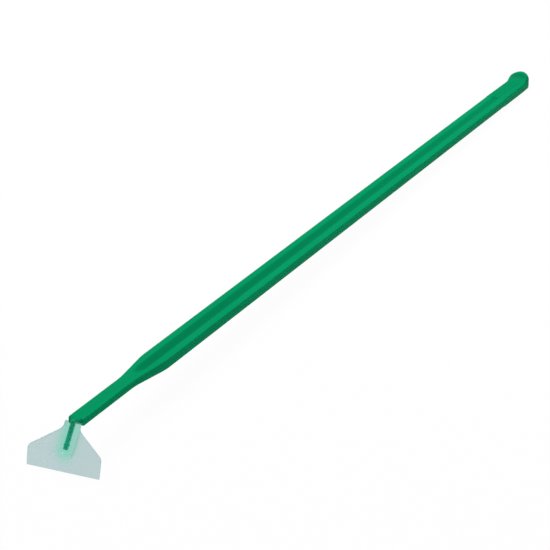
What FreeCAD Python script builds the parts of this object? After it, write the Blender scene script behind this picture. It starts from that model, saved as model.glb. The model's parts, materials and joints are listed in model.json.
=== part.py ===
import FreeCAD, Part
import Sketcher
import math
import os

# A cell scraper: a moulded handle whose bent pin carries a soft scraping blade that can swivel.
# It lies as it comes to rest on a bench, on the blade's scraping edge and the far end of the handle.
# Millimetres. +Z is up, +X runs along the handle from the blade to the far end. The origin is on
# the bench, under the middle of the whole length.

# Every size that can be set by itself: alias, value, meaning.
DIMENSIONS = [
    ("neck_length", 24.0, "flat neck, from its end face to the flare"),
    ("neck_width", 3.8, "neck across"),
    ("neck_thickness", 1.7, "neck, top to bottom"),
    ("neck_edge_radius", 0.25, "rounding of the neck's long edges"),
    ("neck_rise", 0.2, "middle of the neck above the middle of the grip"),
    ("flare_length", 12.5, "widening from neck to grip"),
    ("grip_length", 238.0, "grooved grip"),
    ("grip_width", 6.9, "grip across"),
    ("grip_thickness", 2.35, "grip, top to bottom"),
    ("grip_edge_radius", 0.35, "rounding of the grip's long edges"),
    ("groove_width", 2.9, "groove along the grip, across its mouth"),
    ("groove_depth", 0.5, "groove along the grip, at its deepest"),
    ("groove_lead", 5.0, "length of flare that the groove runs into"),
    ("block_blend", 3.0, "change from the grip's section to the end block's"),
    ("block_length", 22.0, "plain end block, from the grooves to the middle of the head"),
    ("block_width", 6.7, "end block across"),
    ("block_thickness", 2.9, "end block, top to bottom"),
    ("block_edge_radius", 0.7, "rounding of the end block's long edges"),
    ("head_radius", 3.35, "upright round head at the far end"),
    ("head_above", 2.45, "head above the end block's top"),
    ("head_below", 0.05, "head below the end block's underside"),
    ("scoop_radius", 5.0, "hollow of the head's near side, where it rises from the block's top"),
    ("scoop_slope", 58.0, "slope of the hollow at its steepest, degrees"),
    ("scoop_reach", 0.3, "meeting of that slope and the block's top, before the middle of the head"),
    ("head_crown_radius", 1.4, "rounding of the head's upper rim"),
    ("head_edge_radius", 0.3, "rounding of the head's lower rim"),
    ("nose_reach", 1.1, "pin's axis in front of the neck's end face, at mid height"),
    ("nose_width", 1.3, "nose that carries the pin, across and along"),
    ("nose_seat", -0.4, "nose's seat from the neck's middle, down along the pin"),
    ("pin_angle", 53.0, "pin below the line of the neck, degrees"),
    ("pin_length", 6.35, "pin, from the nose's seat to its tip"),
    ("pin_radius", 0.55, "pin"),
    ("bead_height", 0.12, "retaining bead above the pin's surface"),
    ("bead_length", 0.9, "retaining bead along the pin"),
    ("bead_from_tip", 0.7, "pin's tip to the start of the bead"),
    ("running_clearance", 0.04, "gap between pin and socket, on the radius"),
    ("seat_clearance", 0.06, "gap between nose and collar, and past the pin's tip"),
    ("seat_room", 0.25, "room round the turning collar in the seat under the neck"),
    ("blade_width", 18.0, "scraping edge"),
    ("edge_thickness", 0.35, "blade at the scraping edge"),
    ("bend_drop", 0.9, "bend below the pin's tip"),
    ("lip_length", 4.0, "scraping lip, from the bend to the edge"),
    ("lip_bend", 25.0, "scraping lip out of line with the pin, degrees"),
    ("bend_thickness", 0.9, "blade at the bend"),
    ("web_thickness", 1.2, "blade at the top of its collar"),
    ("side_lean", 0.05, "how far each side leans out from edge to shoulder"),
    ("shoulder_height", 0.5, "shoulders' corners above the bend"),
    ("shoulder_slope", 36.0, "slope of the shoulders up to the collar, degrees"),
    ("shoulder_radius", 1.6, "rounding of the shoulders' corners"),
    ("throat_radius", 2.6, "rounding between shoulders and collar"),
    ("collar_width", 3.7, "collar round the socket, across"),
    ("collar_thickness", 1.9, "collar round the socket, front to back"),
    ("collar_edge_radius", 0.85, "rounding of the collar's long edges"),
    ("collar_foot", 1.6, "taper of the collar below the bend, into the lip"),
    ("foot_width", 2.6, "collar's foot, across"),
    ("foot_thickness", 1.0, "collar's foot, front to back"),
    ("foot_edge_radius", 0.3, "rounding of the foot's edges"),
]


def make_sheet(doc):
    """Put the driving dimensions into a spreadsheet, one row each."""
    sheet = doc.addObject("Spreadsheet::Sheet", "dims")
    for row, (alias, value, meaning) in enumerate(DIMENSIONS, start=1):
        sheet.set(f"A{row}", alias)
        sheet.set(f"B{row}", str(value))
        sheet.setAlias(f"B{row}", alias)
        sheet.set(f"C{row}", meaning)
    doc.recompute()
    return sheet


# ---- sketches -----------------------------------------------------------------------------

def place_sketch(body, name, role, offsets=None):
    """A sketch on one of the body's own origin planes.

    offsets maps parts of the attachment offset to expressions.
    """
    plane = next(f for f in body.Origin.OriginFeatures if f.Role == role)
    sketch = body.newObject("Sketcher::SketchObject", name)
    sketch.AttachmentSupport = [(plane, "")]
    sketch.MapMode = "FlatFace"
    for field, expression in (offsets or {}).items():
        sketch.setExpression("AttachmentOffset." + field, expression)
    body.Document.recompute()
    return sketch


def bind(sketch, constraint, name, expression):
    """Add a constraint that carries a size, and tie it to an expression."""
    index = sketch.addConstraint(constraint)
    sketch.renameConstraint(index, name)
    sketch.setExpression("Constraints." + name, expression)


def add_outline(sketch, name, corners):
    """A closed outline of straight sides, each corner at a pair of expressions from the origin.

    A corner's third item, where it has one, is the expression of its rounding.
    """
    points = [
        FreeCAD.Vector(sketch.evalExpression(corner[0]), sketch.evalExpression(corner[1]), 0)
        for corner in corners
    ]
    sides = [
        sketch.addGeometry(Part.LineSegment(points[i - 1], point), False)
        for i, point in enumerate(points)
    ]
    for i, side in enumerate(sides):
        sketch.addConstraint(Sketcher.Constraint("Coincident", side, 1, sides[i - 1], 2))
        along = Sketcher.Constraint("DistanceX", -1, 1, side, 2, points[i].x)
        bind(sketch, along, f"{name}_X{i}", corners[i][0])
        up = Sketcher.Constraint("DistanceY", -1, 1, side, 2, points[i].y)
        bind(sketch, up, f"{name}_Y{i}", corners[i][1])
    for i, corner in enumerate(corners):
        if len(corner) == 3:
            radius = sketch.evalExpression(corner[2])
            arc = sketch.GeometryCount
            sketch.fillet(sides[i], 2, radius, True, True)
            bind(sketch, Sketcher.Constraint("Radius", arc, radius), f"{name}_R{i}", corner[2])


def add_section(sketch, name, width, thickness, radius, across="0", up="0"):
    """A rectangle with round corners, about the point (across, up)."""
    add_outline(sketch, name, [
        (f"{across} + ({sx} {width}) / 2", f"{up} + ({sy} {thickness}) / 2", radius)
        for sx, sy in (("-", "-"), ("", "-"), ("", ""), ("-", ""))
    ])


# ---- features -----------------------------------------------------------------------------

def pad(body, name, sketch, length, symmetric=False, reverse=False):
    """Extrude a sketch by the length that an expression gives."""
    feature = body.newObject("PartDesign::Pad", name)
    feature.Profile = sketch
    feature.SideType = "Symmetric" if symmetric else "One side"
    feature.Reversed = reverse
    feature.setExpression("Length", length)
    body.Document.recompute()
    return feature


def loft(body, name, profile, section):
    """Blend one section into another."""
    feature = body.newObject("PartDesign::AdditiveLoft", name)
    feature.Profile = profile
    feature.Sections = [section]
    body.Document.recompute()
    return feature


def turn(body, kind, name, sketch, axis):
    """Turn a sketch a full circle about one of its own axes, to add or to cut."""
    feature = body.newObject(kind, name)
    feature.Profile = sketch
    feature.ReferenceAxis = (sketch, [axis])
    feature.Angle = 360.0
    body.Document.recompute()
    return feature


def must_cut(body, before, name):
    """A cut that points away from the solid removes nothing and shows no error, so compare."""
    if body.Shape.Volume > before - 1e-4:
        raise RuntimeError(name + " cuts nothing")


# ---- handle -------------------------------------------------------------------------------
# Its own frame: +X along it towards the far end, +Z up, origin at the neck's end face,
# half way through the grip's thickness.

GRIP_START = "(dims.neck_length + dims.flare_length)"
GRIP_END = f"({GRIP_START} + dims.grip_length)"
BLOCK_START = f"({GRIP_END} + dims.block_blend)"
HEAD_MIDDLE = f"({BLOCK_START} + dims.block_length)"
HANDLE_END = f"({HEAD_MIDDLE} + dims.head_radius)"
GROOVE_RADIUS = "((dims.groove_width ^ 2 / 4 + dims.groove_depth ^ 2) / (2 * dims.groove_depth))"


def section_at(body, name, station, width, thickness, radius, up="0"):
    """A cross-section of the handle at a station along it."""
    sketch = place_sketch(body, name, "YZ_Plane", {"Base.z": station})
    add_section(sketch, "section", width, thickness, radius, up=up)
    return sketch


def add_shank(body):
    """Neck, flare, grip and plain end block, one behind the other."""
    neck = ("dims.neck_width", "dims.neck_thickness", "dims.neck_edge_radius", "dims.neck_rise")
    grip = ("dims.grip_width", "dims.grip_thickness", "dims.grip_edge_radius")
    block = ("dims.block_width", "dims.block_thickness", "dims.block_edge_radius")
    pad(body, "neck", section_at(body, "neck_section", "0", *neck), "dims.neck_length")
    flare_start = section_at(body, "flare_start", "dims.neck_length", *neck)
    loft(body, "flare", flare_start, section_at(body, "flare_end", GRIP_START, *grip))
    pad(body, "grip", section_at(body, "grip_section", GRIP_START, *grip), "dims.grip_length")
    blend_start = section_at(body, "blend_start", GRIP_END, *grip)
    loft(body, "block_blend", blend_start, section_at(body, "blend_end", BLOCK_START, *block))
    pad(body, "end_block", section_at(body, "block_section", BLOCK_START, *block), "dims.block_length")


def add_head(body):
    """The upright round head at the far end, its near side hollowed down to the end block."""
    profile = place_sketch(body, "head_profile", "XZ_Plane", {"Base.x": HEAD_MIDDLE})
    bottom = "(-dims.block_thickness / 2 - dims.head_below)"
    top = "(dims.block_thickness / 2 + dims.head_above)"
    add_outline(profile, "head", [
        ("0", bottom),
        ("dims.head_radius", bottom, "dims.head_edge_radius"),
        ("dims.head_radius", top, "dims.head_crown_radius"),
        ("0", top),
    ])
    turn(body, "PartDesign::Revolution", "head", profile, "V_Axis")

    scoop = place_sketch(body, "scoop_profile", "XZ_Plane")
    level = "dims.block_thickness / 2"
    above = f"({level} + 2 * dims.head_above)"
    near = f"({HEAD_MIDDLE} - 2 * dims.head_radius)"
    foot = f"({HEAD_MIDDLE} - dims.scoop_reach)"
    add_outline(scoop, "scoop", [
        (near, level),
        (foot, level, "dims.scoop_radius"),
        (f"{foot} + 2 * dims.head_above / tan(dims.scoop_slope * 1 deg)", above),
        (near, above),
    ])
    before = body.Shape.Volume
    cut = body.newObject("PartDesign::Pocket", "scoop")
    cut.Profile = scoop
    cut.SideType = "Symmetric"
    cut.setExpression("Length", "4 * dims.head_radius")
    body.Document.recompute()
    must_cut(body, before, "scoop")


PIN = "dims.pin_angle * 1 deg"


def off_pin(along, aside):
    """A point of the side view: along the pin from the neck's middle, and aside to its back."""
    x = f"(-dims.nose_reach - ({along}) * cos({PIN}) + ({aside}) * sin({PIN}))"
    z = f"(dims.neck_rise - ({along}) * sin({PIN}) - ({aside}) * cos({PIN}))"
    return x, z


def pin_sketch(body, name):
    """A sketch whose upright axis is the pin's, with its origin where that meets the neck's middle."""
    sketch = place_sketch(body, name, "XZ_Plane", {
        "Base.x": "-dims.nose_reach",
        "Base.y": "dims.neck_rise",
        "Rotation.Angle": "dims.pin_angle - 90",
    })
    return sketch


def cut_seat(body):
    """A round seat about the pin under the neck's end, which leaves the collar room to turn."""
    profile = pin_sketch(body, "seat_profile")
    reach = (
        "(sqrt((dims.collar_width / 2 - dims.collar_edge_radius) ^ 2"
        " + (dims.collar_thickness / 2 - dims.collar_edge_radius) ^ 2)"
        " + dims.collar_edge_radius + dims.seat_room)"
    )
    add_outline(profile, "seat", [
        ("0", "-dims.nose_seat"),
        ("0", "-dims.nose_seat - 2 * dims.neck_thickness"),
        (reach, "-dims.nose_seat - 2 * dims.neck_thickness"),
        (reach, "-dims.nose_seat"),
    ])
    before = body.Shape.Volume
    turn(body, "PartDesign::Groove", "seat", profile, "V_Axis")
    must_cut(body, before, "seat")


def add_pin(body):
    """The nose in front of the neck, and the round pin with its retaining bead."""
    nose = place_sketch(body, "nose_profile", "XZ_Plane")
    top = "(dims.neck_rise + dims.neck_thickness / 2)"
    half = "dims.nose_width / 2"
    elbow = f"(({half} * cos({PIN}) - dims.neck_thickness / 2) / sin({PIN}))"
    root = f"(-dims.nose_reach * cos({PIN}) - dims.neck_thickness / 2 * sin({PIN}))"
    add_outline(nose, "nose", [
        ("dims.neck_thickness", top),
        (off_pin(elbow, f"-{half}")[0], top, "dims.neck_edge_radius"),
        off_pin("dims.nose_seat", f"-{half}"),
        off_pin("dims.nose_seat", half),
        off_pin(root, half),
        ("dims.neck_thickness", "dims.neck_rise"),
    ])
    pad(body, "nose", nose, "dims.nose_width", symmetric=True)

    profile = pin_sketch(body, "pin_profile")
    tip = "(-dims.nose_seat - dims.pin_length)"
    bead_low = f"({tip} + dims.bead_from_tip)"
    root = "(dims.pin_radius / 2 - dims.nose_seat)"
    add_outline(profile, "pin", [
        ("0", root),
        ("0", tip),
        ("dims.pin_radius", tip, "dims.pin_radius / 2"),
        ("dims.pin_radius", bead_low),
        ("dims.pin_radius + dims.bead_height", f"{bead_low} + dims.bead_length / 3"),
        ("dims.pin_radius + dims.bead_height", f"{bead_low} + dims.bead_length * 2 / 3"),
        ("dims.pin_radius", f"{bead_low} + dims.bead_length"),
        ("dims.pin_radius", root),
    ])
    turn(body, "PartDesign::Revolution", "pin", profile, "V_Axis")


def cut_grooves(body):
    """The shallow round-bottomed grooves along the grip, above and below, with ball-ended runs."""
    profile = place_sketch(body, "groove_profile", "XZ_Plane", {
        "Base.y": f"dims.grip_thickness / 2 - dims.groove_depth + {GROOVE_RADIUS}",
    })
    start, end, radius = (profile.evalExpression(e) for e in (
        f"{GRIP_START} - dims.groove_lead", GRIP_END, GROOVE_RADIUS))
    down = FreeCAD.Vector(0, 0, 1)
    left, right = FreeCAD.Vector(start, 0, 0), FreeCAD.Vector(end, 0, 0)
    out, across = FreeCAD.Vector(radius, 0, 0), FreeCAD.Vector(0, -radius, 0)
    left_arc = profile.addGeometry(
        Part.ArcOfCircle(Part.Circle(left, down, radius), math.pi, 1.5 * math.pi), False)
    floor = profile.addGeometry(Part.LineSegment(left + across, right + across), False)
    right_arc = profile.addGeometry(
        Part.ArcOfCircle(Part.Circle(right, down, radius), 1.5 * math.pi, 2 * math.pi), False)
    closing = profile.addGeometry(Part.LineSegment(right + out, left - out), False)
    profile.addConstraint(Sketcher.Constraint("Tangent", left_arc, 2, floor, 1))
    profile.addConstraint(Sketcher.Constraint("Tangent", floor, 2, right_arc, 1))
    profile.addConstraint(Sketcher.Constraint("Coincident", right_arc, 2, closing, 1))
    profile.addConstraint(Sketcher.Constraint("Coincident", closing, 2, left_arc, 1))
    profile.addConstraint(Sketcher.Constraint("Equal", left_arc, right_arc))
    profile.addConstraint(Sketcher.Constraint("PointOnObject", left_arc, 3, -1))
    profile.addConstraint(Sketcher.Constraint("PointOnObject", right_arc, 3, -1))
    profile.addConstraint(Sketcher.Constraint("PointOnObject", left_arc, 1, -1))
    profile.addConstraint(Sketcher.Constraint("PointOnObject", right_arc, 2, -1))
    bind(profile, Sketcher.Constraint("Radius", left_arc, radius), "cutter", GROOVE_RADIUS)
    bind(profile, Sketcher.Constraint("DistanceX", -1, 1, left_arc, 3, start), "start",
         f"{GRIP_START} - dims.groove_lead")
    bind(profile, Sketcher.Constraint("DistanceX", -1, 1, right_arc, 3, end), "end", GRIP_END)
    before = body.Shape.Volume
    groove = turn(body, "PartDesign::Groove", "groove_above", profile, "H_Axis")
    must_cut(body, before, "groove_above")
    before = body.Shape.Volume
    mirror = body.newObject("PartDesign::Mirrored", "groove_below")
    mirror.Originals = [groove]
    mirror.MirrorPlane = (next(f for f in body.Origin.OriginFeatures if f.Role == "XY_Plane"), [""])
    body.Tip = mirror
    body.Document.recompute()
    must_cut(body, before, "groove_below")


def make_handle(doc):
    """The handle, one moulding."""
    body = doc.addObject("PartDesign::Body", "handle")
    body.Label = "handle"
    add_shank(body)
    cut_grooves(body)
    add_head(body)
    cut_seat(body)
    add_pin(body)
    return body


# ---- blade --------------------------------------------------------------------------------
# Its own frame: +Z up the socket's axis, the origin at the pin's tip, +X to the blade's back.

RIM = "(dims.pin_length - dims.seat_clearance)"
EDGE_X = "(dims.lip_length * sin(dims.lip_bend * 1 deg))"
EDGE_Z = "(-dims.bend_drop - dims.lip_length * cos(dims.lip_bend * 1 deg))"
EDGE_HALF_X = "(dims.edge_thickness / 2 * cos(dims.lip_bend * 1 deg))"
EDGE_HALF_Z = "(dims.edge_thickness / 2 * sin(dims.lip_bend * 1 deg))"
SHOULDER_HALF = "(dims.blade_width / 2 + dims.side_lean)"
SHOULDER_Z = "(dims.shoulder_height - dims.bend_drop)"


def add_sheet(body):
    """The bent sheet, seen from the side, as wide as its shoulders."""
    profile = place_sketch(body, "side_profile", "XZ_Plane")
    add_outline(profile, "side", [
        ("-dims.web_thickness / 2", RIM),
        ("-dims.bend_thickness / 2", "-dims.bend_drop"),
        (f"{EDGE_X} - {EDGE_HALF_X}", f"{EDGE_Z} - {EDGE_HALF_Z}"),
        (f"{EDGE_X} + {EDGE_HALF_X}", f"{EDGE_Z} + {EDGE_HALF_Z}"),
        ("dims.bend_thickness / 2", "-dims.bend_drop"),
        ("dims.web_thickness / 2", RIM),
    ])
    pad(body, "sheet", profile, f"2 * {SHOULDER_HALF}", symmetric=True)


def trim_outline(body):
    """Cut the sheet to its bell-shaped front outline."""
    front = place_sketch(body, "front_outline", "YZ_Plane")
    rise = f"({SHOULDER_HALF} - dims.collar_width / 2) * tan(dims.shoulder_slope * 1 deg)"
    throat = f"({SHOULDER_Z} + {rise})"
    low = f"({EDGE_Z} - dims.edge_thickness)"
    margin = "dims.blade_width / 4"
    add_outline(front, "bell", [
        ("-dims.blade_width / 2", low),
        ("dims.blade_width / 2", low),
        (SHOULDER_HALF, SHOULDER_Z, "dims.shoulder_radius"),
        ("dims.collar_width / 2", throat, "dims.throat_radius"),
        ("dims.collar_width / 2", f"{RIM} + {margin}"),
        ("-dims.collar_width / 2", f"{RIM} + {margin}"),
        ("-dims.collar_width / 2", throat, "dims.throat_radius"),
        (f"-{SHOULDER_HALF}", SHOULDER_Z, "dims.shoulder_radius"),
    ])
    add_outline(front, "waste", [
        (f"{side} ({SHOULDER_HALF} + {margin})", height)
        for side, height in (
            ("-", f"{low} - {margin}"), ("", f"{low} - {margin}"),
            ("", f"{RIM} + 2 * {margin}"), ("-", f"{RIM} + 2 * {margin}"),
        )
    ])
    before = body.Shape.Volume
    cut = body.newObject("PartDesign::Pocket", "outline_cut")
    cut.Profile = front
    cut.SideType = "Symmetric"
    cut.setExpression("Length", "2 * dims.blade_width")
    body.Document.recompute()
    must_cut(body, before, "outline_cut")


def add_collar(body):
    """The collar round the socket, tapered into the lip below the bend."""
    round_socket = ("dims.collar_thickness", "dims.collar_width", "dims.collar_edge_radius")
    section = place_sketch(body, "collar_section", "XY_Plane", {"Base.z": "-dims.bend_drop"})
    add_section(section, "collar", *round_socket)
    pad(body, "collar", section, f"{RIM} + dims.bend_drop")
    top = place_sketch(body, "foot_top", "XY_Plane", {"Base.z": "-dims.bend_drop"})
    add_section(top, "collar", *round_socket)
    foot = place_sketch(body, "foot_end", "XY_Plane", {"Base.z": "-dims.bend_drop - dims.collar_foot"})
    add_section(foot, "foot", "dims.foot_thickness", "dims.foot_width", "dims.foot_edge_radius",
                across="dims.collar_foot * tan(dims.lip_bend * 1 deg)")
    loft(body, "collar_foot", top, foot)


def cut_socket(body):
    """The blind socket: the pin's own profile and its bead, larger by the running clearance."""
    profile = place_sketch(body, "socket_profile", "XZ_Plane")
    bore = "(dims.pin_radius + dims.running_clearance)"
    add_outline(profile, "socket", [
        ("0", f"{RIM} + dims.pin_radius"),
        ("0", "-dims.seat_clearance"),
        (bore, "-dims.seat_clearance"),
        (bore, "dims.bead_from_tip"),
        (f"{bore} + dims.bead_height", "dims.bead_from_tip + dims.bead_length / 3"),
        (f"{bore} + dims.bead_height", "dims.bead_from_tip + dims.bead_length * 2 / 3"),
        (bore, "dims.bead_from_tip + dims.bead_length"),
        (bore, f"{RIM} + dims.pin_radius"),
    ])
    before = body.Shape.Volume
    turn(body, "PartDesign::Groove", "socket", profile, "V_Axis")
    must_cut(body, before, "socket")


def make_blade(doc):
    """The soft blade, one moulding."""
    body = doc.addObject("PartDesign::Body", "blade")
    body.Label = "blade"
    add_sheet(body)
    trim_outline(body)
    add_collar(body)
    cut_socket(body)
    return body


# ---- how the pieces lie -------------------------------------------------------------------

def turned(angle):
    """A turn about Y, from Z towards X, in degrees."""
    return FreeCAD.Rotation(FreeCAD.Vector(0, 1, 0), angle)


def lay_on_bench(sheet, handle, blade):
    """Put the blade on its pin, and the part on the bench: on its scraping edge and its head."""
    pin = math.radians(sheet.pin_angle)
    along_pin = sheet.nose_seat + sheet.pin_length
    tip = FreeCAD.Vector(
        -sheet.nose_reach - along_pin * math.cos(pin), 0, sheet.neck_rise - along_pin * math.sin(pin))
    on_pin = FreeCAD.Placement(tip, turned(90 - sheet.pin_angle))
    edge = on_pin.multVec(FreeCAD.Vector(
        handle.evalExpression(f"{EDGE_X} + {EDGE_HALF_X}"),
        0,
        handle.evalExpression(f"{EDGE_Z} + {EDGE_HALF_Z}"),
    ))
    rim = sheet.head_edge_radius
    rim_centre = FreeCAD.Vector(
        handle.evalExpression(HANDLE_END) - rim, 0, rim - sheet.block_thickness / 2 - sheet.head_below)
    reach = rim_centre - edge
    tilt = math.degrees(math.atan2(reach.z, reach.x) - math.asin(rim / reach.Length))
    lying = FreeCAD.Placement(FreeCAD.Vector(), turned(tilt))
    handle.Placement = lying
    blade.Placement = lying * on_pin
    boxes = [body.Shape.optimalBoundingBox(False, False) for body in (handle, blade)]
    middle = (min(box.XMin for box in boxes) + max(box.XMax for box in boxes)) / 2
    down = FreeCAD.Placement(FreeCAD.Vector(-middle, 0, -lying.multVec(edge).z), FreeCAD.Rotation())
    handle.Placement = down * handle.Placement
    blade.Placement = down * blade.Placement


def check_and_export(doc, bodies):
    """Stop if anything in the document has failed, then write each piece to its own file."""
    doc.recompute()
    for item in doc.Objects:
        if {"Invalid", "Error"} & set(item.State):
            raise RuntimeError(f"{item.Label} failed: {item.State}")
    os.makedirs("parts", exist_ok=True)
    for body in bodies:
        if body.Shape.isNull() or not body.Shape.isValid():
            raise RuntimeError(body.Label + " has no valid shape")
        body.Shape.exportStep(os.path.join("parts", body.Label + ".step"))


def main():
    doc = FreeCAD.newDocument("cell_scraper")
    sheet = make_sheet(doc)
    handle = make_handle(doc)
    blade = make_blade(doc)
    doc.recompute()
    lay_on_bench(sheet, handle, blade)
    check_and_export(doc, [handle, blade])


main()
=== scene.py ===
import json
import math

import bmesh
import bpy
from bpy.props import FloatProperty, PointerProperty, StringProperty
from bpy.types import Operator, Panel, PropertyGroup
from mathutils import Matrix, Vector


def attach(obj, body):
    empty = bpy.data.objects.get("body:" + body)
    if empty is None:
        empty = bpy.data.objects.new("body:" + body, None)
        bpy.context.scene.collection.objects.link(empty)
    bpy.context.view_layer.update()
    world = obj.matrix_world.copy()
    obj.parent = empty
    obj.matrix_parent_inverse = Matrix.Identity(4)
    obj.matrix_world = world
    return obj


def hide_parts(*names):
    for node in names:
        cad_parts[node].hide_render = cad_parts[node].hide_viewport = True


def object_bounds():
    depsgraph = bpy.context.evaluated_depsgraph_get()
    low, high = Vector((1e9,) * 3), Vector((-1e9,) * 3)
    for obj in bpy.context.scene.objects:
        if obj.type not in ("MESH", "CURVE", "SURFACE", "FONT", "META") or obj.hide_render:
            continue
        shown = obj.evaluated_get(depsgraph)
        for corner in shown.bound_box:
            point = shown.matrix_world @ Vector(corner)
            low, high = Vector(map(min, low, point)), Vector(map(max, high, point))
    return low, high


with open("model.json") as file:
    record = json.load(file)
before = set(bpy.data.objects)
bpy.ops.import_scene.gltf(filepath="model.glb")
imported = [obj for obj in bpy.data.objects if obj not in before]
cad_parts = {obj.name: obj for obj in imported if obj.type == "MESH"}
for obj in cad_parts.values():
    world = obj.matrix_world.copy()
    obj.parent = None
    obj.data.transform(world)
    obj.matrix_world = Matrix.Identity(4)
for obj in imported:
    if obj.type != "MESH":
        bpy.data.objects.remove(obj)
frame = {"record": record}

bl_info = {
    "name": "Cell scraper",
    "version": (1, 0, 0),
    "blender": (4, 5, 0),
    "location": "3D View > Sidebar > Scraper",
    "description": "Builds a cell scraper with a moulded handle and a soft swivelling blade",
    "category": "Add Mesh",
}

CAD_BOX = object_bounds()
RECORD = frame["record"]
MM = 0.001


# ---- settings -----------------------------------------------------------------------------

def length(millimetres, name, description):
    """A length, given in millimetres and kept in metres."""
    return FloatProperty(name=name, description=description, default=millimetres * MM,
                         unit="LENGTH", precision=5)


def angle(degrees, name, description):
    """An angle, given in degrees."""
    return FloatProperty(name=name, description=description, default=math.radians(degrees),
                         subtype="ANGLE")


def colour(hex_colour, name, description):
    """An sRGB colour, kept as its hex code."""
    return StringProperty(name=name, description=description, default=hex_colour)


class ScraperHandleSettings(PropertyGroup):
    neck_length: length(24.0, "Neck length", "Flat neck, from its end face to the flare")
    neck_width: length(3.95, "Neck width", "Neck across")
    neck_thickness: length(1.7, "Neck thickness", "Neck, top to bottom")
    neck_edge: length(0.25, "Neck edges", "Rounding of the neck's edges")
    neck_end: length(0.5, "Neck end", "Rounding of the neck's end face")
    neck_rise: length(0.2, "Neck rise", "Middle of the neck above the middle of the grip")
    flare_length: length(12.5, "Flare length", "Widening from neck to grip")
    grip_length: length(238.0, "Grip length", "Grooved grip")
    grip_width: length(6.9, "Grip width", "Grip across")
    grip_thickness: length(2.35, "Grip thickness", "Grip, top to bottom")
    grip_edge: length(0.35, "Grip edges", "Rounding of the grip's edges")
    groove_width: length(2.9, "Groove width", "Groove across its mouth")
    groove_depth: length(0.5, "Groove depth", "Groove at its deepest")
    groove_fade: length(0.17, "Groove fade", "How much shallower the groove is at the end block")
    groove_lead: length(5.0, "Groove lead", "Length of flare that the groove runs into")
    groove_run_in: length(5.0, "Groove run-in", "Slow deepening of the groove, before its full depth")
    groove_run_out: length(2.9, "Groove run-out", "Slow rise of the groove's floor at the end block")
    groove_lip: length(0.16, "Groove lip", "Softening of the groove's edges")
    block_blend: length(3.0, "Block blend", "Change from the grip's section to the end block's")
    block_length: length(22.0, "Block length", "Plain end block, up to the middle of the head")
    block_width: length(7.0, "Block width", "End block across")
    block_thickness: length(2.9, "Block thickness", "End block, top to bottom")
    block_edge: length(0.7, "Block edges", "Rounding of the end block's lower edges")
    block_shoulder: length(0.9, "Block shoulders", "Rounding of the end block's upper edges at the head")
    block_sink: length(0.2, "Block sink", "Hollow that the thick end block's top draws into as it cools")
    head_width: length(6.76, "Head width", "Head across")
    head_above: length(2.25, "Head above", "Head above the end block's top")
    head_arch: length(1.1, "Head arch", "Middle of the head's top above its two sides")
    head_crown: length(1.0, "Head crown", "Rounding of the head's upper rim")
    scoop_radius: length(5.0, "Scoop radius", "Hollow of the head's near side, up from the block's top")
    scoop_slope: angle(58.0, "Scoop slope", "Slope of the hollow at its steepest")
    scoop_reach: length(0.9, "Scoop reach", "Start of that slope, were it sharp, before the head's middle")
    nose_reach: length(1.1, "Nose reach", "Pin's axis in front of the neck's end face")
    nose_width: length(1.3, "Nose width", "Elbow that carries the pin, at the collar")
    nose_root: length(3.0, "Nose root", "Elbow across, where it leaves the neck")
    nose_seat: length(-0.4, "Nose seat", "Elbow's seat from the neck's middle, down along the pin")
    pin_angle: angle(53.0, "Pin angle", "Pin below the line of the neck")
    pin_length: length(6.35, "Pin length", "Pin, from the elbow's seat to its tip")
    pin_radius: length(0.55, "Pin radius", "Radius of the pin")
    bead_height: length(0.12, "Bead height", "Retaining bead above the pin's surface")
    bead_length: length(0.9, "Bead length", "Retaining bead along the pin")
    bead_from_tip: length(0.7, "Bead place", "Pin's tip to the start of the bead")
    seat_radius: length(2.1, "Seat radius", "Round seat under the neck's end, which the collar turns in")
    parting: length(0.03, "Parting line", "Ridge along both sides, where the mould's halves met")
    draft: angle(1.0, "Draft", "Slope of the sides, away from the parting line")
    plastic: colour("#039e68", "Plastic", "Colour of the handle's plastic")
    shade: colour("#008f5d", "Shade", "Colour of the plastic's darker flow marks")
    # Painted light: a lighter green for the pin and seat under the blade, standing in for the light that
    # reaches them.
    pin_painted_light: colour("#50efcb", "Sheathed", "Colour of the pin inside the blade")
    # Painted shade: a darker green painted deep in the grooves and the block's sink, where shade falls.
    hollow_shade: colour("#007a4e", "Hollow", "Colour deep in the grooves")


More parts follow.
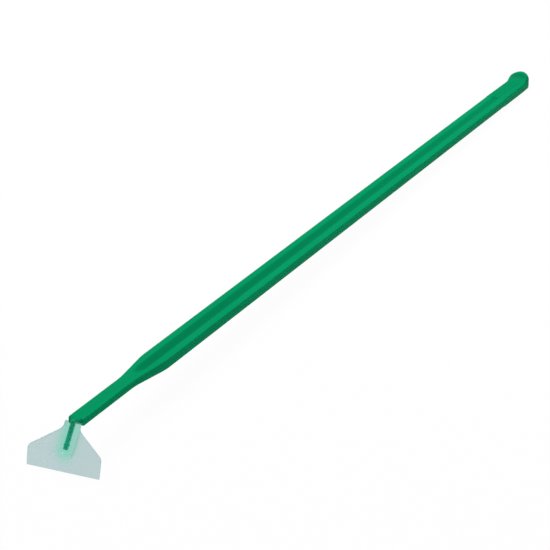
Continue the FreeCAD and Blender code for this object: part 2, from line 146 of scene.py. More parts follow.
class ScraperBladeSettings(PropertyGroup):
    blade_width: length(18.0, "Blade width", "Scraping edge")
    edge_thickness: length(0.35, "Edge thickness", "Blade at the scraping edge")
    lip_length: length(4.0, "Lip length", "Scraping lip, from the bend to the edge")
    lip_bend: angle(25.0, "Lip bend", "Scraping lip out of line with the pin")
    bend_radius: length(1.6, "Bend radius", "Rounding of the bend, on the sheet's middle")
    bend_drop: length(0.9, "Bend drop", "Bend below the pin's tip")
    bend_thickness: length(0.9, "Bend thickness", "Blade at the bend")
    web_thickness: length(1.2, "Web thickness", "Blade at the top of its collar")
    side_lean: length(0.05, "Side lean", "How far each side leans out from edge to shoulder")
    shoulder_height: length(0.5, "Shoulder height", "Shoulders' corners above the bend")
    shoulder_slope: angle(36.0, "Shoulder slope", "Slope of the shoulders up to the collar")
    shoulder_radius: length(1.6, "Shoulder radius", "Rounding of the shoulders' corners")
    throat_radius: length(2.6, "Throat radius", "Rounding between shoulders and collar")
    collar_width: length(3.7, "Collar width", "Collar round the socket, across")
    collar_thickness: length(1.9, "Collar thickness", "Collar round the socket, front to back")
    collar_edge: length(0.85, "Collar edges", "Rounding of the collar's long edges")
    collar_foot: length(3.1, "Collar foot", "Fading of the collar into the sheet, below the socket")
    collar_root: length(0.9, "Collar root", "Softening where the collar meets the sheet")
    collar_rim: length(0.15, "Collar rim", "Rounding of the collar's rim")
    running_clearance: length(0.04, "Running clearance", "Gap between pin and socket, on the radius")
    seat_clearance: length(0.06, "Seat clearance", "Gap between elbow and collar, and past the pin's tip")
    plastic: colour("#d9e5e6", "Plastic", "Tint of the blade's plastic")
    # Painted light: a mint tint round the socket stands in for the pin's green light scattered in the
    # plastic.
    socket_painted_glow: colour("#b4e6d9", "Socket tint", "Tint of the plastic round the socket")


class ScraperStageSettings(PropertyGroup):
    azimuth: angle(-65.43, "Azimuth", "Camera round the scraper: 0 looks across it, -90 along it")
    elevation: angle(22.15, "Elevation", "Camera above the bench")
    distance: length(558.2, "Distance", "Camera from the point it looks at")
    aim: length(-44.4, "Aim", "Point looked at, from the middle of the scraper along it")
    lens: FloatProperty(name="Lens", description="Focal length in millimetres", default=141.96)


# ---- shapes -------------------------------------------------------------------------------

def smooth_max(one, other, blend):
    """The larger of two values, rounded over a blend where they meet."""
    share = max(blend - abs(one - other), 0.0) / blend
    return max(one, other) + share * share * blend / 4


def smooth_min(one, other, blend):
    """The smaller of two values, rounded over a blend where they meet."""
    return -smooth_max(-one, -other, blend)


def rounded_drop(over, radius):
    """How far a rounded edge has dropped, over past the start of its rounding."""
    if over <= 0.0:
        return 0.0
    return radius - math.sqrt(max(radius * radius - over * over, 0.0))


def spread(start, end, step):
    """Even places from start up to, but without, the end, at most a step apart."""
    count = max(math.ceil((end - start) / step), 1)
    return [start + (end - start) * i / count for i in range(count)]


def rounded_path(corners, steps=10):
    """Points along a flat path through (a, b, radius) corners, with an arc at each inner corner."""
    points = [Vector(corners[0][:2])]
    for before, corner, after in zip(corners, corners[1:], corners[2:]):
        middle = Vector(corner[:2])
        back = (Vector(before[:2]) - middle).normalized()
        ahead = (Vector(after[:2]) - middle).normalized()
        half = back.angle(ahead) / 2
        centre = middle + (back + ahead).normalized() * corner[2] / math.sin(half)
        first = middle + back * corner[2] / math.tan(half) - centre
        turn = first.angle_signed(middle + ahead * corner[2] / math.tan(half) - centre)
        points += [centre + Matrix.Rotation(-turn * i / steps, 2) @ first for i in range(steps + 1)]
    points.append(Vector(corners[-1][:2]))
    return points


def between(points, key, place):
    """The point of a path where its coordinate number key has reached a place."""
    for one, other in zip(points, points[1:]):
        low, high = sorted((one[key], other[key]))
        if high > low and low <= place <= high:
            return one.lerp(other, (place - one[key]) / (other[key] - one[key]))
    return min((points[0], points[-1]), key=lambda point: abs(point[key] - place))


def add_ring_faces(faces, one, other):
    """Quads between two closed rings of vertex numbers."""
    for i in range(len(one)):
        j = (i + 1) % len(one)
        faces.append((one[i], one[j], other[j], other[i]))


def new_mesh(name, points, faces):
    """A closed mesh with its normals outward."""
    mesh = bpy.data.meshes.new(name)
    mesh.from_pydata(points, [], faces)
    shape = bmesh.new()
    shape.from_mesh(mesh)
    bmesh.ops.recalc_face_normals(shape, faces=shape.faces)
    shape.to_mesh(mesh)
    shape.free()
    return mesh


def new_piece(name, mesh, place):
    """An object of a mesh that was made in a piece's own frame, moved to its place."""
    mesh.transform(place)
    piece = bpy.data.objects.new(name, mesh)
    bpy.context.scene.collection.objects.link(piece)
    return piece


def combine(piece, other, operation):
    """Cut another piece out of this one, or join it on, and remove the other."""
    step = piece.modifiers.new(operation.lower(), "BOOLEAN")
    step.operation = operation
    step.solver = "EXACT"
    step.object = other
    apply_modifiers(piece)
    bpy.data.objects.remove(other)


def apply_modifiers(piece):
    """Replace a piece's mesh with its modified one."""
    evaluated = piece.evaluated_get(bpy.context.evaluated_depsgraph_get())
    mesh = bpy.data.meshes.new_from_object(evaluated)
    piece.modifiers.clear()
    piece.data = mesh


def smooth_shading(piece, crease):
    """Smooth faces, but for edges sharper than the crease angle."""
    piece.data.shade_smooth()
    piece.data.set_sharp_from_angle(angle=crease)


# ---- materials ----------------------------------------------------------------------------

def linear(hex_colour):
    """An sRGB hex colour, such as #0f9a68, as a linear RGBA tuple."""
    channels = [int(hex_colour[i:i + 2], 16) / 255 for i in (1, 3, 5)]
    return (*(c / 12.92 if c <= 0.04045 else ((c + 0.055) / 1.055) ** 2.4 for c in channels), 1.0)


def add_node(tree, kind, links=None, **settings):
    """Add a node: settings go to its own attributes or to inputs by name; links feed its inputs."""
    node = tree.nodes.new(kind)
    for name, value in settings.items():
        socket = node.inputs.get(name.replace("_", " "))
        if hasattr(node, name):
            setattr(node, name, value)
        elif socket:
            socket.default_value = value
        else:
            raise KeyError(f"{kind} has no setting {name}")
    for name, source in (links or {}).items():
        tree.links.new(source, node.inputs[name])
    return node


def new_material(name):
    """An empty node material and its tree."""
    material = bpy.data.materials.new(name)
    material.use_nodes = True
    material.node_tree.nodes.clear()
    return material, material.node_tree


def mix_colours(tree, factor, one, other):
    """A mix of two linear colours or sockets."""
    node = add_node(tree, "ShaderNodeMix", {"Factor": factor}, data_type="RGBA")
    for place, source in ((6, one), (7, other)):
        if isinstance(source, tuple):
            node.inputs[place].default_value = source
        else:
            tree.links.new(source, node.inputs[place])
    return node.outputs[2]


def seen_directly(tree):
    """A socket that is 1 for what the camera sees directly or through clear plastic, else 0."""
    path = add_node(tree, "ShaderNodeLightPath")
    seen = add_node(tree, "ShaderNodeMath", {0: path.outputs["Is Camera Ray"],
                                             1: path.outputs["Is Transmission Ray"]}, operation="MAXIMUM")
    return seen.outputs[0]


def moulded_polystyrene(settings):
    """Green polystyrene, injection moulded: a saturated colour under a smooth satin skin."""
    material, tree = new_material("moulded_polystyrene_green")
    place = add_node(tree, "ShaderNodeTexCoord").outputs["Object"]
    # The melt ran from the far end to the neck, and left long faint streaks a few millimetres wide.
    along = add_node(tree, "ShaderNodeMapping", {"Vector": place}, Scale=(0.1, 1.0, 1.0))
    flow = add_node(tree, "ShaderNodeTexNoise", {"Vector": along.outputs["Vector"]},
                    Scale=1 / (3 * MM), Detail=3.0, Roughness=0.55)
    tone = mix_colours(tree, flow.outputs["Fac"], linear(settings.shade), linear(settings.plastic))
    # Painted shade: deep in the grooves and in the block's sink the green is painted darker, by depth.
    hollow_shade = add_node(tree, "ShaderNodeAttribute", attribute_name="hollow_shade")
    tone = mix_colours(tree, hollow_shade.outputs["Fac"], tone, linear(settings.hollow_shade))
    # Painted light: on the pin and in the seat under the blade a lighter green is painted, standing in for
    # the light that reaches them there.
    pin_painted_light = add_node(tree, "ShaderNodeAttribute", attribute_name="pin_painted_light")
    tone = mix_colours(tree, pin_painted_light.outputs["Fac"], tone, linear(settings.pin_painted_light))
    # Bags and benches rub fine scratches into the polish, mostly along the handle.
    drawn = add_node(tree, "ShaderNodeMapping", {"Vector": place}, Scale=(0.04, 1.0, 1.0))
    rubbed = add_node(tree, "ShaderNodeTexNoise", {"Vector": drawn.outputs["Vector"]},
                      Scale=1 / (0.15 * MM), Detail=4.0, Roughness=0.6)
    gloss = add_node(tree, "ShaderNodeMapRange", {"Value": rubbed.outputs["Fac"]}, To_Min=0.34, To_Max=0.5)
    # The mould's steel was stoned, not mirror polished: a grain of about a tenth of a millimetre.
    grain = add_node(tree, "ShaderNodeTexNoise", {"Vector": place}, Scale=1 / (0.12 * MM), Detail=2.0)
    relief = add_node(tree, "ShaderNodeBump", {"Height": grain.outputs["Fac"]},
                      Strength=0.06, Distance=0.02 * MM)
    shader = add_node(tree, "ShaderNodeBsdfPrincipled",
                      {"Base Color": tone, "Roughness": gloss.outputs["Result"],
                       "Normal": relief.outputs["Normal"]}, IOR=1.59, Specular_IOR_Level=0.004)
    add_node(tree, "ShaderNodeOutputMaterial", {"Surface": shader.outputs["BSDF"]})
    return material


def moulded_polyethylene(settings):
    """Natural polyethylene, moulded thin: clear enough to show the pin in it, but hazy."""
    material, tree = new_material("moulded_polyethylene_natural")
    place = add_node(tree, "ShaderNodeTexCoord").outputs["Object"]
    # Spherulites scatter the light in clouds of a few millimetres.
    haze = add_node(tree, "ShaderNodeTexNoise", {"Vector": place},
                    Scale=1 / (2.5 * MM), Detail=3.0, Roughness=0.5)
    cloud = add_node(tree, "ShaderNodeMapRange", {"Value": haze.outputs["Fac"]}, To_Min=0.2, To_Max=0.32)
    # Painted light: round the socket the plastic is painted mint, standing in for the pin's green light
    # scattered in it.
    near = add_node(tree, "ShaderNodeAttribute", attribute_name="near_socket")
    tint_and_pin_glow = mix_colours(tree, near.outputs["Fac"], linear(settings.plastic), linear(settings.socket_painted_glow))
    grain = add_node(tree, "ShaderNodeTexNoise", {"Vector": place}, Scale=1 / (0.2 * MM), Detail=2.0)
    relief = add_node(tree, "ShaderNodeBump", {"Height": grain.outputs["Fac"]},
                      Strength=0.03, Distance=0.02 * MM)
    bent = add_node(tree, "ShaderNodeBsdfPrincipled",
                    {"Base Color": tint_and_pin_glow, "Roughness": cloud.outputs["Result"],
                     "Normal": relief.outputs["Normal"]},
                    IOR=1.51, Transmission_Weight=0.9, Specular_IOR_Level=0.3)
    straight = add_node(tree, "ShaderNodeBsdfTransparent", {"Color": tint_and_pin_glow})
    # Most of the light goes straight through, and the most of it round the socket.
    clear = add_node(tree, "ShaderNodeMapRange", {"Value": near.outputs["Fac"]}, To_Min=0.74, To_Max=0.9)
    shader = add_node(tree, "ShaderNodeMixShader",
                      {0: clear.outputs["Result"], 1: bent.outputs["BSDF"], 2: straight.outputs["BSDF"]})
    add_node(tree, "ShaderNodeOutputMaterial", {"Surface": shader.outputs["Shader"]})
    return material


def wetted_socket():
    """The socket's wall, pressed so close to the pin that light passes straight across."""
    material, tree = new_material("wetted_socket_clear")
    clear = add_node(tree, "ShaderNodeBsdfTransparent")
    add_node(tree, "ShaderNodeOutputMaterial", {"Surface": clear.outputs["BSDF"]})
    return material


def painted_bench():
    """A matt white bench: white to the camera, and it keeps a faint shadow."""
    material, tree = new_material("painted_bench_white")
    matt = add_node(tree, "ShaderNodeBsdfDiffuse", Color=linear("#f2f2f2"))
    white = add_node(tree, "ShaderNodeEmission", Strength=1.0)
    share = add_node(tree, "ShaderNodeMapRange", {"Value": seen_directly(tree)}, To_Min=0.0, To_Max=0.97)
    mixed = add_node(tree, "ShaderNodeMixShader",
                     {0: share.outputs["Result"], 1: matt.outputs["BSDF"], 2: white.outputs["Emission"]})
    add_node(tree, "ShaderNodeOutputMaterial", {"Surface": mixed.outputs["Shader"]})
    return material


# ---- handle -------------------------------------------------------------------------------
# Its own frame: +X along it from the neck's end face, +Z up from the middle of the grip.

def handle_places(settings):
    """The places along the handle where its section changes: flare, grip, block and head."""
    flare = settings.neck_length
    grip = flare + settings.flare_length
    blend = grip + settings.grip_length
    block = blend + settings.block_blend
    head = block + settings.block_length
    return flare, grip, blend, block, head


def handle_frame(settings):
    """From the handle's own frame to the scraper's, by the flat top of its end block."""
    mount = next(mount for mount in RECORD["mounts"] if mount["name"] == "end_block_top")
    up = Vector(mount["axis"])
    across = Vector((0.0, 1.0, 0.0))
    along = across.cross(up)
    block, head = handle_places(settings)[3:]
    middle = (block + head - settings.head_width / 2) / 2
    place = Matrix((along, across, up)).transposed().to_4x4()
    place.translation = Vector(mount["pos_m"]) - along * middle - up * settings.block_thickness / 2
    return place


def handle_section(settings, x):
    """Width, thickness, edge rounding and height of the middle of the handle's section at x."""
    flare, grip, blend, block, head = handle_places(settings)
    neck = Vector((settings.neck_width, settings.neck_thickness, settings.neck_edge, settings.neck_rise))
    grips = Vector((settings.grip_width, settings.grip_thickness, settings.grip_edge, 0.0))
    end = Vector((settings.block_width, settings.block_thickness, settings.block_edge, 0.0))
    softness = 0.15
    widening = smooth_min(smooth_max((x - flare) / (grip - flare), 0.0, softness), 1.0, softness)
    change = min(max((x - blend) / (block - blend), 0.0), 1.0)
    change = change * change * (3.0 - 2.0 * change)
    section = neck.lerp(grips, min(widening, 1.0)).lerp(end, change)
    closing_length = 6 * MM
    closing = min(max((x - head) / closing_length + 1.0, 0.0), 1.0)
    section[0] += (settings.head_width - settings.block_width) * closing * closing * (3.0 - 2.0 * closing)
    return section


def scoop_rise(settings, x):
    """How far the head's hollowed near side has risen above the block's top at x."""
    radius, slope = settings.scoop_radius, settings.scoop_slope
    start = handle_places(settings)[4] - settings.scoop_reach - radius * math.tan(slope / 2)
    along = max(x - start, 0.0)
    arc = min(along, radius * math.sin(slope))
    return radius - math.sqrt(radius ** 2 - arc ** 2) + (along - arc) * math.tan(slope)


def upper_edge(settings, section, x):
    """Rounding of the section's upper edges, which changes slowly along the end block."""
    block, head = handle_places(settings)[3:]
    share = min(max((x - block) / (head - block), 0.0), 1.0)
    return section[2] + (settings.block_shoulder - settings.block_edge) * share


def sink_depth(settings, section, x, y):
    """How far the thick end block's top has drawn in at (x, y) as it cooled."""
    _, _, blend, _, head = handle_places(settings)
    run = 5 * MM
    share = min(max(min((x - blend) / run, (head - x) / run), 0.0), 1.0)
    share = share * share * (3.0 - 2.0 * share)
    return settings.block_sink * share * max(1.0 - (2 * y / section[0]) ** 2, 0.0)


def surface_height(settings, section, x, y, side):
    """The handle's surface at (x, y), measured up for side 1 and down for side -1."""
    width, thickness, edge, middle = section
    _, grip, blend, _, head = handle_places(settings)
    rim_fillet = 0.5 * MM
    if side > 0:
        edge = upper_edge(settings, section, x)
    reach = math.hypot(max(x - head, 0.0), y)
    height = middle * side + thickness / 2 - rounded_drop(reach - (width / 2 - edge), edge)
    depth = settings.groove_depth - settings.groove_fade * min(max((x - grip) / (blend - grip), 0.0), 1.0)
    cutter = (settings.groove_width ** 2 / 4 + depth ** 2) / (2 * depth)
    before = (grip - settings.groove_lead - x) / settings.groove_run_in
    after = (x - blend) / settings.groove_run_out
    outside = max(before, after, 0.0) * settings.groove_width / 2
    room = cutter ** 2 - outside ** 2 - y ** 2
    if room > 0.0:
        floor = settings.grip_thickness / 2 - depth + cutter - math.sqrt(room)
        height = smooth_min(height, floor, settings.groove_lip)
    if side > 0:
        height += scoop_rise(settings, x) - sink_depth(settings, section, x, y)
        crown = settings.head_crown
        top = thickness / 2 + settings.head_above - settings.head_arch * (2 * y / width) ** 2
        top -= rounded_drop(reach - (width / 2 - crown), crown)
        height = smooth_min(height, top, rim_fillet)
    return height


def half_section(settings, x, inset=0.0, turn=0.0):
    """Half of the handle's section at x, from top to underside, turned about an upright line there."""
    section = handle_section(settings, x)
    section[0] -= 2 * inset
    section[1] -= 2 * inset
    half = section[0] / 2
    head = handle_places(settings)[4]
    nearness = min(max(1.0 - (head - x) / half, 0.0), 1.0)
    edge = upper_edge(settings, section, x)
    edge += (settings.head_crown - edge) * nearness

    # Points across, close together at the groove's mouth and over the rounded edge.
    mouth = min(settings.groove_width / 2, (half - edge) * 0.6)
    across = [mouth * part for part in (0.0, 0.2, 0.4, 0.6, 0.75, 0.86, 0.94, 1.0, 1.06, 1.14)]
    across += [across[-1] + (half - edge - across[-1]) * i / 6 for i in range(1, 7)]
    across += [half - edge + edge * math.sin(math.pi / 2 * i / 9) for i in range(1, 10)]
    heights = {}
    for side in (1, -1):
        heights[side] = [
            side * surface_height(settings, section, x + y * math.sin(turn), y * math.cos(turn), side)
            for y in across]

    # Down the wall, past the parting line's ridge.
    high, low = heights[1][-1], heights[-1][-1]
    parting = section[3]
    ridge = 0.05 * MM
    wall = [high + (parting + ridge - high) * part for part in (0.35, 0.7, 1.0)]
    wall += [parting]
    wall += [parting - ridge + (low - parting + ridge) * part for part in (0.0, 0.3, 0.65)]
    outline = list(zip(across, heights[1])) + [(half, z) for z in wall]
    outline += list(zip(across, heights[-1]))[::-1]
    points = []
    for y, z in outline:
        away = abs(z - parting)
        drawn_in = min(away / ridge, 1.0) * settings.parting + away * math.tan(settings.draft)
        points.append((y * (1.0 - drawn_in / half), z))
    return points


def handle_stations(settings):
    """Where the handle's sections are taken: close together where its shape changes."""
    flare, grip, blend, block, head = handle_places(settings)
    start = grip - settings.groove_lead
    first = start - settings.groove_run_in
    # Each stop is a place and the greatest step from there on, in millimetres.
    stops = (
        (settings.neck_end, 0.4), (6 * MM, 2.0), (flare - 1.5 * MM, 0.3), (first - 0.5 * MM, 0.2),
        (start + 0.5 * MM, 0.5), (grip + 2 * MM, 6.0), (blend - 0.5 * MM, 0.12),
        (block - 0.05 * MM, 0.1), (block, 2.0), (head - 5 * MM, 0.15), (head, 0.15),
    )
    places = []
    for (here, step), (there, _) in zip(stops, stops[1:]):
        places += spread(here, there, step * MM)
    return places + [head]


def shank_mesh(settings):
    """Neck, flare, grooved grip, end block and head as one skin, with a rounded end to the neck."""
    edge = settings.neck_end
    halves = []
    steps = 8
    for i in range(steps, 0, -1):
        turn = math.pi / 2 * i / steps
        inset = edge * (1.0 - math.cos(turn))
        halves.append((edge * (1.0 - math.sin(turn)), half_section(settings, edge, inset)))
    halves += [(x, half_section(settings, x)) for x in handle_stations(settings)]
    points, faces, rings = [], [], []
    for x, half in halves:
        ring = [(x, y, z) for y, z in half] + [(x, -y, z) for y, z in half[-2:0:-1]]
        rings.append([len(points) + i for i in range(len(ring))])
        points += ring
    for one, other in zip(rings, rings[1:]):
        add_ring_faces(faces, one, other)
    faces.append(rings[0])

    # The head's far half: half sections turned about the head's upright axis.
    head, profile = halves[-1]
    count = len(profile) - 1
    last = rings[-1]
    turns = 40
    columns = [last[:count + 1]]
    for i in range(1, turns):
        turn = math.pi * i / turns
        columns.append([last[0]] + [len(points) + j for j in range(count - 1)] + [last[count]])
        points += [(head + y * math.sin(turn), y * math.cos(turn), z)
                   for y, z in half_section(settings, head, 0.0, turn)[1:-1]]
    columns.append([last[0]] + last[:count - 1:-1][:count])
    for one, other in zip(columns, columns[1:]):
        faces.append((one[0], one[1], other[1]))
        faces += [(one[j], one[j + 1], other[j + 1], other[j]) for j in range(1, count - 1)]
        faces.append((one[count - 1], one[count], other[count - 1]))
    return new_mesh("handle_moulding", points, faces)


def mark_hollow_shade(mesh, settings, place):
    """Note how deep each point lies in a groove or the block's sink, for the shade painted there: 1 is as
    deep as a groove's floor.
    """
    inward = place.inverted()
    _, grip, blend, _, _ = handle_places(settings)
    first = grip - settings.groove_lead - settings.groove_run_in
    mark = mesh.attributes.new("hollow_shade", "FLOAT", "POINT")
    for i, point in enumerate(mesh.vertices):
        x, y, z = inward @ point.co
        section = handle_section(settings, x)
        depth = 0.0
        if first < x < blend + settings.groove_run_out and abs(y) < settings.groove_width / 2:
            depth = section[1] / 2 - abs(z - section[3])
        elif x > blend and z > 0.0:
            depth = sink_depth(settings, section, x, y)
        mark.data[i].value = min(max(depth / settings.groove_depth, 0.0), 1.0)


def mark_pin_painted_light(mesh, settings, place):
    """Note which points lie on the pin or in the round seat, where the soft blade touches the handle and a
    lighter green is painted as light.
    """
    inward = place.inverted()
    lead, fade, margin = 0.35 * MM, 0.7 * MM, 0.02 * MM
    start = Vector(on_pin(settings, settings.nose_seat - lead))
    down = Vector(on_pin(settings, 1.0)) - Vector(on_pin(settings, 0.0))
    back = Vector(on_pin(settings, 0.0, 1.0)) - Vector(on_pin(settings, 0.0))
    mark = mesh.attributes.new("pin_painted_light", "FLOAT", "POINT")
    for i, point in enumerate(mesh.vertices):
        x, y, z = inward @ point.co
        away = Vector((x, z)) - start
        if math.hypot(away.dot(back), y) < settings.seat_radius + margin:
            mark.data[i].value = min(max(away.dot(down) / fade, 0.0), 1.0)


def bar_mesh(name, path, sides=40):
    """A round or oval bar in the side view, closed at both ends.

    Each (x, z, slope, radius, half width) of its path is a section across a line that slopes down.
    """
    points, faces, rings = [], [], []
    for x, z, slope, radius, half_width in path:
        rings.append([len(points) + j for j in range(sides)])
        for j in range(sides):
            turn = 2 * math.pi * j / sides
            out = radius * math.cos(turn)
            points.append((x - math.sin(slope) * out, half_width * math.sin(turn),
                           z + math.cos(slope) * out))
    for one, other in zip(rings, rings[1:]):
        add_ring_faces(faces, one, other)
    faces += [rings[0], rings[-1]]
    return new_mesh(name, points, faces)


def on_pin(settings, along, aside=0.0):
    """A point of the side view, along the pin from the neck's middle and aside to its back."""
    turn = settings.pin_angle
    return (-settings.nose_reach - along * math.cos(turn) + aside * math.sin(turn),
            settings.neck_rise - along * math.sin(turn) - aside * math.cos(turn))


def pin_path(settings):
    """The elbow out of the neck, and the pin with its bead."""
    turn, radius, half = settings.pin_angle, settings.pin_radius, settings.nose_width / 2
    seat = settings.nose_seat
    tip = seat + settings.pin_length
    bead = tip - settings.bead_from_tip - settings.bead_length

    # The elbow's sections fan round its inner corner, under a top that is level with the neck's.
    fold_x, fold_z = on_pin(settings, seat - 0.1 * MM, half)
    room = settings.neck_rise + settings.neck_thickness / 2 - 0.02 * MM - fold_z
    path = [(fold_x + settings.nose_width * 1.2, fold_z + room / 2, 0.0, room / 2, settings.nose_root / 2)]
    steps = 10
    for i in range(steps + 1):
        slope = turn * i / steps
        size = smooth_min(half, room / 2 / math.cos(slope), 0.1 * MM)
        part = 1.0 - (i / steps) ** 2 * (3.0 - 2.0 * i / steps)
        path.append((fold_x - math.sin(slope) * size, fold_z + math.cos(slope) * size, slope, size,
                     half + (settings.nose_root / 2 - half) * part))

    # Along the pin: the elbow's rounded seat, the pin, its bead and its rounded tip.
    profile = [(seat - 0.03 * MM, half - 0.02 * MM), (seat, half - 0.06 * MM),
               (seat + 0.01 * MM, radius + 0.03 * MM), (seat + 0.1 * MM, radius)]
    for i in range(13):
        part = i / 12
        profile.append((bead + settings.bead_length * part,
                        radius + settings.bead_height * math.sin(math.pi * part) ** 2))
    for i in range(8):
        part = math.pi / 2 * i / 7
        profile.append((tip - radius / 2 * (1.0 - math.sin(part)),
                        radius / 2 + radius / 2 * math.cos(part)))
    return path + [(*on_pin(settings, along), turn, size, size) for along, size in profile]


def seat_cutter(settings):
    """The round room under the neck's end that the blade's collar turns in."""
    high = on_pin(settings, settings.nose_seat)
    low = on_pin(settings, settings.nose_seat + 2 * settings.neck_thickness)
    sizes = (settings.pin_angle, settings.seat_radius, settings.seat_radius)
    return bar_mesh("seat_cutter", [(*high, *sizes), (*low, *sizes)], sides=72)


# ---- blade --------------------------------------------------------------------------------
# Its own frame: +Z up the socket's axis, the origin at the pin's tip, +X to the blade's back.

def blade_frame(handle):
    """From the blade's own frame to the scraper's, by the swivel's axis and the pin's tip."""
    up = Vector(RECORD["behaviour"]["joints"][0]["axis"])
    across = Vector((0.0, 1.0, 0.0))
    x, z = pin_path(handle)[-1][:2]
    place = Matrix((across.cross(up), across, up)).transposed().to_4x4()
    place.translation = handle_frame(handle) @ Vector((x, 0.0, z))
    return place


def blade_outline(settings, rim):
    """Half of the bell outline: (height, half width), from the scraping edge to the collar's rim."""
    shoulder = settings.blade_width / 2 + settings.side_lean
    collar = settings.collar_width / 2
    corner = settings.shoulder_height - settings.bend_drop
    throat = corner + (shoulder - collar) * math.tan(settings.shoulder_slope)
    edge = -settings.bend_drop - settings.lip_length * math.cos(settings.lip_bend)
    return rounded_path([
        (edge - settings.edge_thickness, settings.blade_width / 2, 0.0),
        (corner, shoulder, settings.shoulder_radius),
        (throat, collar, settings.throat_radius),
        (rim, collar, 0.0),
    ], steps=14)


def blade_ring(settings, at, ahead, sizes, inset=0.0):
    """A section across the blade: its points round from one side by the front to the other and back."""
    half, thick, fade = sizes
    # The collar narrows towards its foot, and falls off steeply past its two sides.
    taper, side_slope = 0.12, 4.0
    collar = settings.collar_width / 2 - (settings.collar_foot * taper * (1.0 - fade))
    bulge = settings.collar_thickness / 2 * fade
    edge = min(settings.collar_edge, bulge)
    rim = min(thick, half * 0.45)
    inner = min(collar + 0.5 * MM, half * 0.62)
    across = [inner * i / 9 for i in range(10)]
    across += [inner + (half - rim - inner) * i / 12 for i in range(1, 13)]
    across += [half - rim + rim * math.sin(math.pi / 2 * i / 6) for i in range(1, 7)]
    depths = []
    for y in across:
        sheet = thick - rounded_drop(y - (half - rim), rim) * thick / rim
        lump = bulge - rounded_drop(min(y - (collar - edge), edge), edge)
        lump -= side_slope * max(y - collar, 0.0)
        depth = smooth_max(max(sheet, 0.05 * MM), lump, settings.collar_root * max(fade, 0.2))
        depths.append(min(depth, settings.collar_thickness / 2))
    squeeze = 1.0 - inset / half
    thinner = 1.0 - inset / max(depths)
    side = [(y * squeeze, depth * thinner) for y, depth in zip(across, depths)]
    front = [(-y, depth) for y, depth in reversed(side)] + side[1:]
    ring = front + [(y, -depth) for y, depth in reversed(front)]
    out = Vector((-ahead.y, ahead.x))
    return [(at.x + out.x * depth, y, at.y + out.y * depth) for y, depth in ring]


def blade_mesh(settings, handle):
    """The blade as one skin: bent lip, bell-shaped sheet, collar and blind socket."""
    rim = handle.pin_length - settings.seat_clearance
    outline = blade_outline(settings, rim)
    slope = settings.lip_bend
    drop = settings.bend_drop
    spacing, least_gap, edge_inset, chamfer = 0.35 * MM, 0.06 * MM, 0.08 * MM, 0.08 * MM
    edge = (settings.lip_length * math.sin(slope), -drop - settings.lip_length * math.cos(slope))
    middle = rounded_path([(*edge, 0.0), (0.0, -drop, settings.bend_radius), (0.0, rim, 0.0)], steps=8)
    heights = {round(point.x, 7) for point in outline if point.x > edge[1]}
    heights |= {round(point.y, 7) for point in middle}
    heights |= {round(place, 7) for place in spread(edge[1], rim, spacing)}
    heights = [z for z in sorted(heights) if z < rim - 1.5 * settings.collar_rim]
    kept = heights[:1]
    for z in heights[1:]:
        if z - kept[-1] > least_gap:
            kept.append(z)

    def ring_at(z, inset=0.0):
        """The blade's section where its middle line is at height z."""
        at = between(middle, 1, z)
        step = 0.02 * MM
        ahead = (between(middle, 1, z + step) - between(middle, 1, z - step)).normalized()
        bend = settings.bend_thickness / 2
        if z < -drop:
            thick = bend + (settings.edge_thickness / 2 - bend) * (-drop - z) / (-drop - edge[1])
        else:
            thick = bend + (settings.web_thickness / 2 - bend) * (z + drop) / (rim + drop)
        fade = min(max(z / settings.collar_foot + 1.0, 0.0), 1.0)
        fade = fade * fade * (3.0 - 2.0 * fade)
        return blade_ring(settings, at, ahead, (between(outline, 0, z).y, thick, max(fade, 0.02)), inset)

    sections = [ring_at(edge[1], edge_inset)]
    sections += [ring_at(z) for z in kept[1:]]
    rounding = settings.collar_rim
    for i in range(5):
        turn = math.pi / 2 * i / 4
        sections.append([(x, y, rim - rounding * (1.0 - math.sin(turn))) for x, y, _ in
                         ring_at(rim - rounding, rounding * (1.0 - math.cos(turn)))])

    # The blind socket, from its chamfered mouth past the bead's groove to its floor.
    bore = handle.pin_radius + settings.running_clearance
    bead = handle.bead_from_tip
    socket = [(rim, bore + chamfer), (rim - chamfer, bore)]
    for i in range(9, -1, -1):
        part = i / 9
        socket.append((bead + handle.bead_length * part,
                       bore + handle.bead_height * math.sin(math.pi * part) ** 2))
    socket.append((-settings.seat_clearance, bore))
    top = sections[-1]
    outer = len(sections)
    for z, radius in socket:
        turns = [math.atan2(x, y) for x, y, _ in top]
        sections.append([(radius * math.sin(turn), radius * math.cos(turn), z) for turn in turns])

    points, faces, rings = [], [], []
    for section in sections:
        rings.append([len(points) + i for i in range(len(section))])
        points += section
    for one, other in zip(rings, rings[1:]):
        add_ring_faces(faces, one, other)
    wetted = outer * len(rings[0])
    first = rings[0]
    half = len(first) // 2
    faces += [(first[i], first[i + 1], first[-2 - i], first[-1 - i]) for i in range(half - 1)]
    faces.append(rings[-1])
    mesh = new_mesh("blade_moulding", points, faces)
    for face in mesh.polygons:
        face.material_index = int(min(face.vertices) >= wetted)

    # Painted light: the pin's green glow in the plastic round it is painted as a mint tint, up to about
    # this far from the socket.
    reach = 2.2 * MM
    near = mesh.attributes.new("near_socket", "FLOAT", "POINT")
    for i, point in enumerate(mesh.vertices):
        _, y, z = point.co
        distance = math.hypot(y, max(-z, 0.0)) / reach
        near.data[i].value = math.exp(-distance * distance)
    return mesh


# ---- operators ----------------------------------------------------------------------------

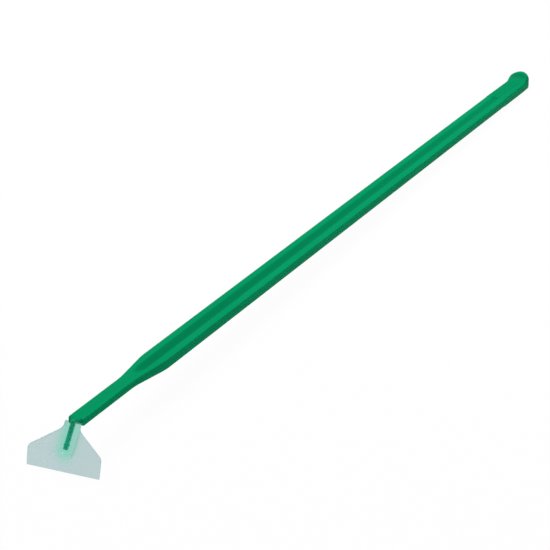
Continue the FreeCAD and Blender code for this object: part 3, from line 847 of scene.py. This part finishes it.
class SCRAPER_OT_handle(Operator):
    """Make the moulded handle, with its elbow and pin"""
    bl_idname = "scraper.handle"
    bl_label = "Handle"

    def execute(self, context):
        settings = context.scene.scraper_handle
        place = handle_frame(settings)
        handle = new_piece("handle_moulding", shank_mesh(settings), place)
        combine(handle, new_piece("seat_cutter", seat_cutter(settings), place), "DIFFERENCE")
        combine(handle, new_piece("pin", bar_mesh("pin", pin_path(settings)), place), "UNION")
        tip_x, tip_z = pin_path(settings)[-1][:2]
        pin_tip = Vector((tip_x, 0.0, tip_z))
        far_end = Vector((handle_places(settings)[4] + settings.head_width / 2, 0.0, 0.0))
        for end in (place @ pin_tip, place @ far_end):
            if min((point.co - end).length for point in handle.data.vertices) > settings.pin_radius:
                raise RuntimeError("the handle lost its pin or its head when the two were joined")
        smooth_shading(handle, crease=math.radians(38))
        mark_hollow_shade(handle.data, settings, place)
        mark_pin_painted_light(handle.data, settings, place)
        handle.data.materials.clear()
        handle.data.materials.append(moulded_polystyrene(settings))
        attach(handle, "handle")
        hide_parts("handle")
        return {"FINISHED"}


class SCRAPER_OT_blade(Operator):
    """Make the soft blade with its collar and socket"""
    bl_idname = "scraper.blade"
    bl_label = "Blade"

    def execute(self, context):
        settings = context.scene.scraper_blade
        handle = context.scene.scraper_handle
        blade = new_piece("blade_moulding", blade_mesh(settings, handle), blade_frame(handle))
        smooth_shading(blade, crease=math.radians(50))
        blade.data.materials.append(moulded_polyethylene(settings))
        blade.data.materials.append(wetted_socket())
        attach(blade, "blade")
        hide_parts("blade")
        return {"FINISHED"}


class SCRAPER_OT_stage(Operator):
    """Set the white bench, the soft lamps and the camera"""
    bl_idname = "scraper.stage"
    bl_label = "Stage"

    def execute(self, context):
        settings = context.scene.scraper_stage
        bench_radius = 3.0
        bench = bpy.data.meshes.new("bench")
        shape = bmesh.new()
        bmesh.ops.create_circle(shape, cap_ends=True, segments=96, radius=bench_radius)
        shape.to_mesh(bench)
        shape.free()
        bench.materials.append(painted_bench())
        floor = bpy.data.objects.new("bench", bench)
        context.scene.collection.objects.link(floor)

        world = bpy.data.worlds.new("studio")
        context.scene.world = world
        world.use_nodes = True
        tree = world.node_tree
        tree.nodes.clear()
        # White to the camera, but only a weak light on the scraper.
        strength = add_node(tree, "ShaderNodeMapRange", {"Value": seen_directly(tree)},
                            To_Min=0.15, To_Max=1.0)
        light = add_node(tree, "ShaderNodeBackground", {"Strength": strength.outputs["Result"]},
                         Color=(1.0, 1.0, 1.0, 1.0))
        add_node(tree, "ShaderNodeOutputWorld", {"Surface": light.outputs["Background"]})

        # Each lamp: its place and size in metres, and its power in watts.
        for name, place, size, power in (
            ("key", (0.42, 0.4, 1.15), 0.8, 18.0),
            ("fill", (-0.2, -0.6, 0.5), 0.8, 0.7),
        ):
            lamp = bpy.data.lights.new(name, "AREA")
            lamp.size = size
            lamp.energy = power
            holder = bpy.data.objects.new(name, lamp)
            holder.location = place
            holder.rotation_euler = (-Vector(place)).to_track_quat("-Z", "Y").to_euler()
            context.scene.collection.objects.link(holder)

        middle = sum(CAD_BOX, Vector()) / 2
        target = Vector((middle.x + settings.aim, middle.y, middle.z))
        turn = Matrix.Rotation(settings.azimuth, 3, "Z") @ Matrix.Rotation(-settings.elevation, 3, "X")
        back = turn @ Vector((0.0, -1.0, 0.0))
        lens = bpy.data.cameras.new("camera")
        lens.lens = settings.lens
        lens.clip_start = 0.01
        camera = bpy.data.objects.new("camera", lens)
        camera.location = target + back * settings.distance
        camera.rotation_euler = (-back).to_track_quat("-Z", "Y").to_euler()
        context.scene.collection.objects.link(camera)
        context.scene.camera = camera
        context.scene.view_settings.view_transform = "Standard"
        return {"FINISHED"}


class SCRAPER_PT_sidebar(Panel):
    """The scraper's pieces and their settings"""
    bl_label = "Cell scraper"
    bl_idname = "SCRAPER_PT_sidebar"
    bl_space_type = "VIEW_3D"
    bl_region_type = "UI"
    bl_category = "Scraper"

    def draw(self, context):
        layout = self.layout
        for step, group in STEPS:
            layout.operator(step.bl_idname)
            settings = getattr(context.scene, group)
            for name in type(settings).__annotations__:
                layout.prop(settings, name)


STEPS = (
    (SCRAPER_OT_handle, "scraper_handle"),
    (SCRAPER_OT_blade, "scraper_blade"),
    (SCRAPER_OT_stage, "scraper_stage"),
)
SETTINGS = {
    "scraper_handle": ScraperHandleSettings,
    "scraper_blade": ScraperBladeSettings,
    "scraper_stage": ScraperStageSettings,
}
CLASSES = (*SETTINGS.values(), *(step for step, _ in STEPS), SCRAPER_PT_sidebar)


def register():
    """Add the classes, and a settings group for each step on the scene."""
    for cls in CLASSES:
        bpy.utils.register_class(cls)
    for name, group in SETTINGS.items():
        setattr(bpy.types.Scene, name, PointerProperty(type=group))


def unregister():
    """Take the settings and the classes away again."""
    for name in SETTINGS:
        delattr(bpy.types.Scene, name)
    for cls in reversed(CLASSES):
        bpy.utils.unregister_class(cls)


def main():
    register()
    for step, _ in STEPS:
        family, name = step.bl_idname.split(".")
        getattr(getattr(bpy.ops, family), name)()


if __name__ == "__main__":
    main()
